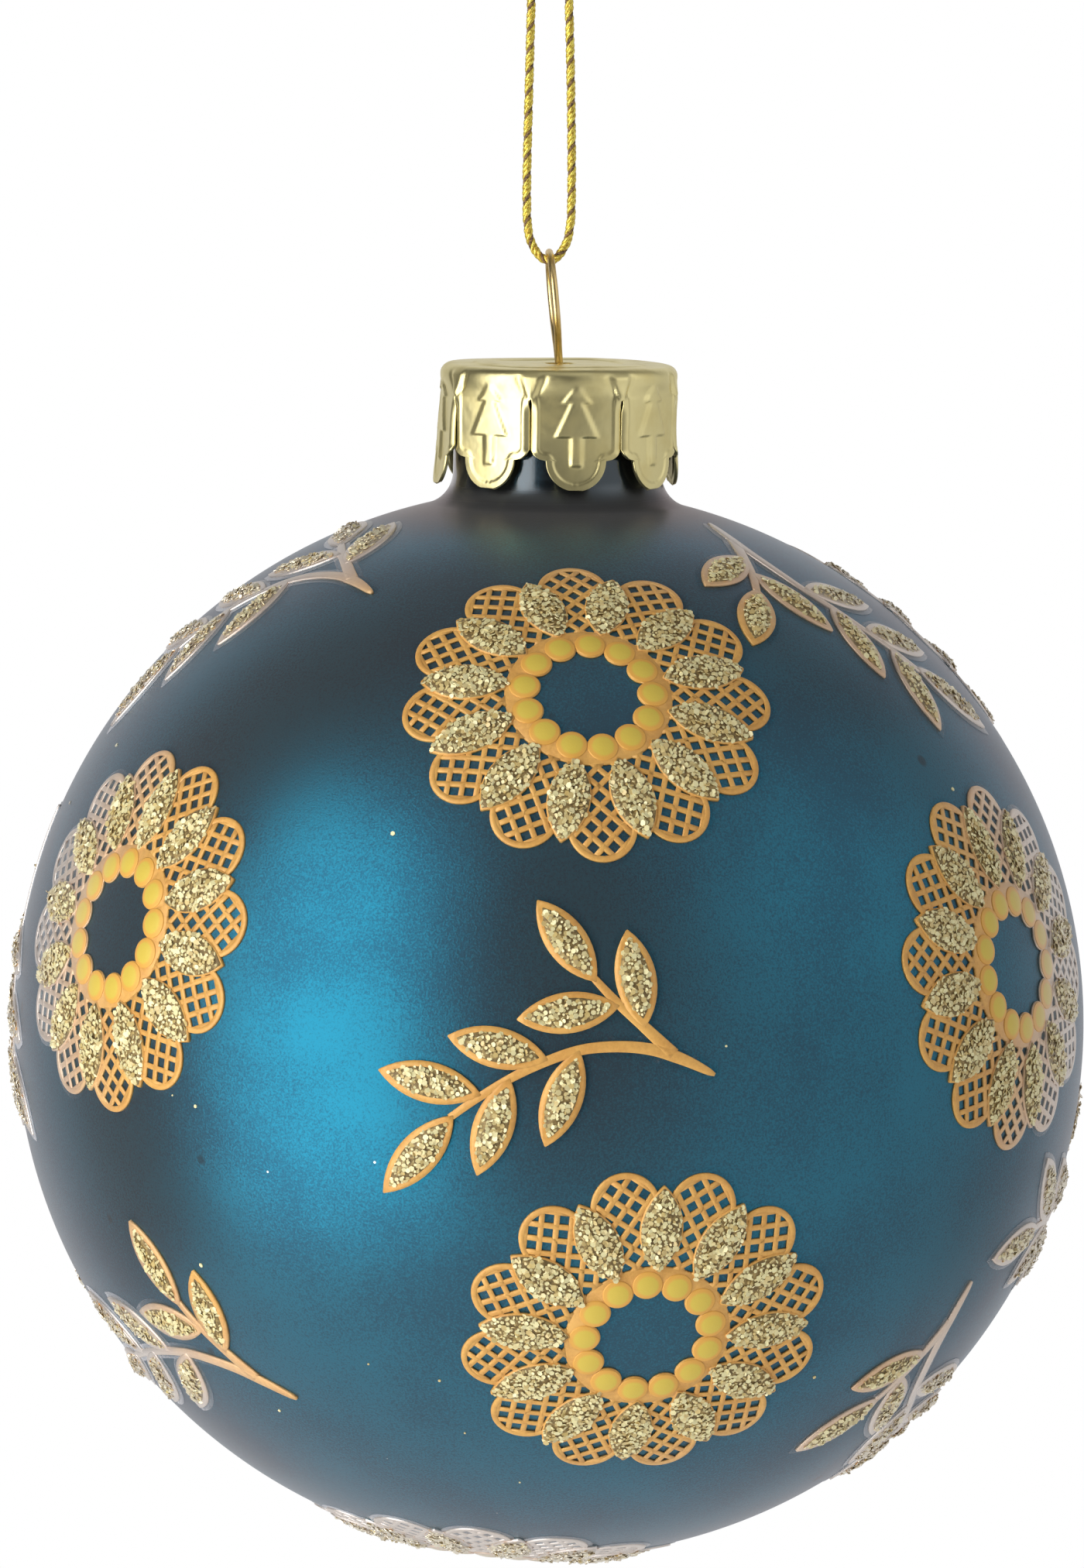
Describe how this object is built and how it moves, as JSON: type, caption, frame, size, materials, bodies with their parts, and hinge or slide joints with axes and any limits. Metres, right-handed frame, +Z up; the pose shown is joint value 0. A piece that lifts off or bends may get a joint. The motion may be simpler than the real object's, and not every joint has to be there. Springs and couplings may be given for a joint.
{
  "type": "hanging glass ball ornament",
  "caption": "Round hollow glass ornament with a pressed metal cap, a wire eye, applied lace flowers and glitter sprigs, hanging from a thin cord loop.",
  "frame": {"origin": "inside top of the cord loop, where a hook or twig carries it", "axes": "+Z up along the hanging line, -Y towards the viewer, +X to the viewer's right"},
  "size_m": [0.081, 0.0811, 0.1497],
  "materials": {
    "lacquered_glass": "satin metallic teal lacquer",
    "pressed_gold_sheet": "polished pale gold",
    "hanger_wire": "bronze plated spring wire",
    "metallic_cord": "braided metallic gold thread",
    "gold_lace": "matte gold lace",
    "gold_beads": "satin yellow gold",
    "gold_glitter": "coarse pale gold glitter",
    "clear_film": "thin film with a bronze edge"
  },
  "bodies": {
    "cord_loop": {"hanging_cord": "metallic_cord", "cord_knot": "metallic_cord"},
    "hanger": {"wire_hanger": "hanger_wire"},
    "cap": {"cap": "pressed_gold_sheet"},
    "ball": {"glass_ball": "lacquered_glass", "lace_rosette_1": "gold_lace", "bead_ring_1": "gold_beads", "glitter_petals_1": "gold_glitter", "lace_rosette_2": "gold_lace", "bead_ring_2": "gold_beads", "glitter_petals_2": "gold_glitter", "lace_rosette_3": "gold_lace", "bead_ring_3": "gold_beads", "glitter_petals_3": "gold_glitter", "lace_rosette_4": "gold_lace", "bead_ring_4": "gold_beads", "glitter_petals_4": "gold_glitter", "lace_rosette_5": "gold_lace", "bead_ring_5": "gold_beads", "glitter_petals_5": "gold_glitter", "lace_rosette_6": "gold_lace", "bead_ring_6": "gold_beads", "glitter_petals_6": "gold_glitter", "lace_rosette_7": "gold_lace", "bead_ring_7": "gold_beads", "glitter_petals_7": "gold_glitter", "lace_rosette_8": "gold_lace", "bead_ring_8": "gold_beads", "glitter_petals_8": "gold_glitter", "lace_rosette_9": "gold_lace", "bead_ring_9": "gold_beads", "glitter_petals_9": "gold_glitter", "sprig_film_1": "clear_film", "glitter_leaves_1": "gold_glitter", "sprig_film_2": "clear_film", "glitter_leaves_2": "gold_glitter", "sprig_film_3": "clear_film", "glitter_leaves_3": "gold_glitter", "sprig_film_4": "clear_film", "glitter_leaves_4": "gold_glitter", "sprig_film_5": "clear_film", "glitter_leaves_5": "gold_glitter", "sprig_film_6": "clear_film", "glitter_leaves_6": "gold_glitter", "sprig_film_7": "clear_film", "glitter_leaves_7": "gold_glitter", "sprig_film_8": "clear_film", "glitter_leaves_8": "gold_glitter", "sprig_film_9": "clear_film", "glitter_leaves_9": "gold_glitter", "sprig_film_10": "clear_film", "glitter_leaves_10": "gold_glitter", "sprig_film_11": "clear_film", "glitter_leaves_11": "gold_glitter", "sprig_film_12": "clear_film", "glitter_leaves_12": "gold_glitter"}
  },
  "joints": [
    {"name": "swing_on_cord", "type": "hinge", "parent": "cord_loop", "child": "hanger", "pos_m": [0, 0, -0.04], "axis": [-0.0454, 0.999, 0], "range_deg": [-70, 70]},
    {"name": "swivel_in_cap", "type": "hinge", "parent": "hanger", "child": "cap", "pos_m": [0.00073, 0, -0.0483], "axis": [0.0148, 0, 0.9999], "continuous": true},
    {"name": "pull_off_cap", "type": "slide", "parent": "cap", "child": "ball", "axis": [-0.0148, 0, -0.9999], "range_m": [0, 0.02]}
  ]
}
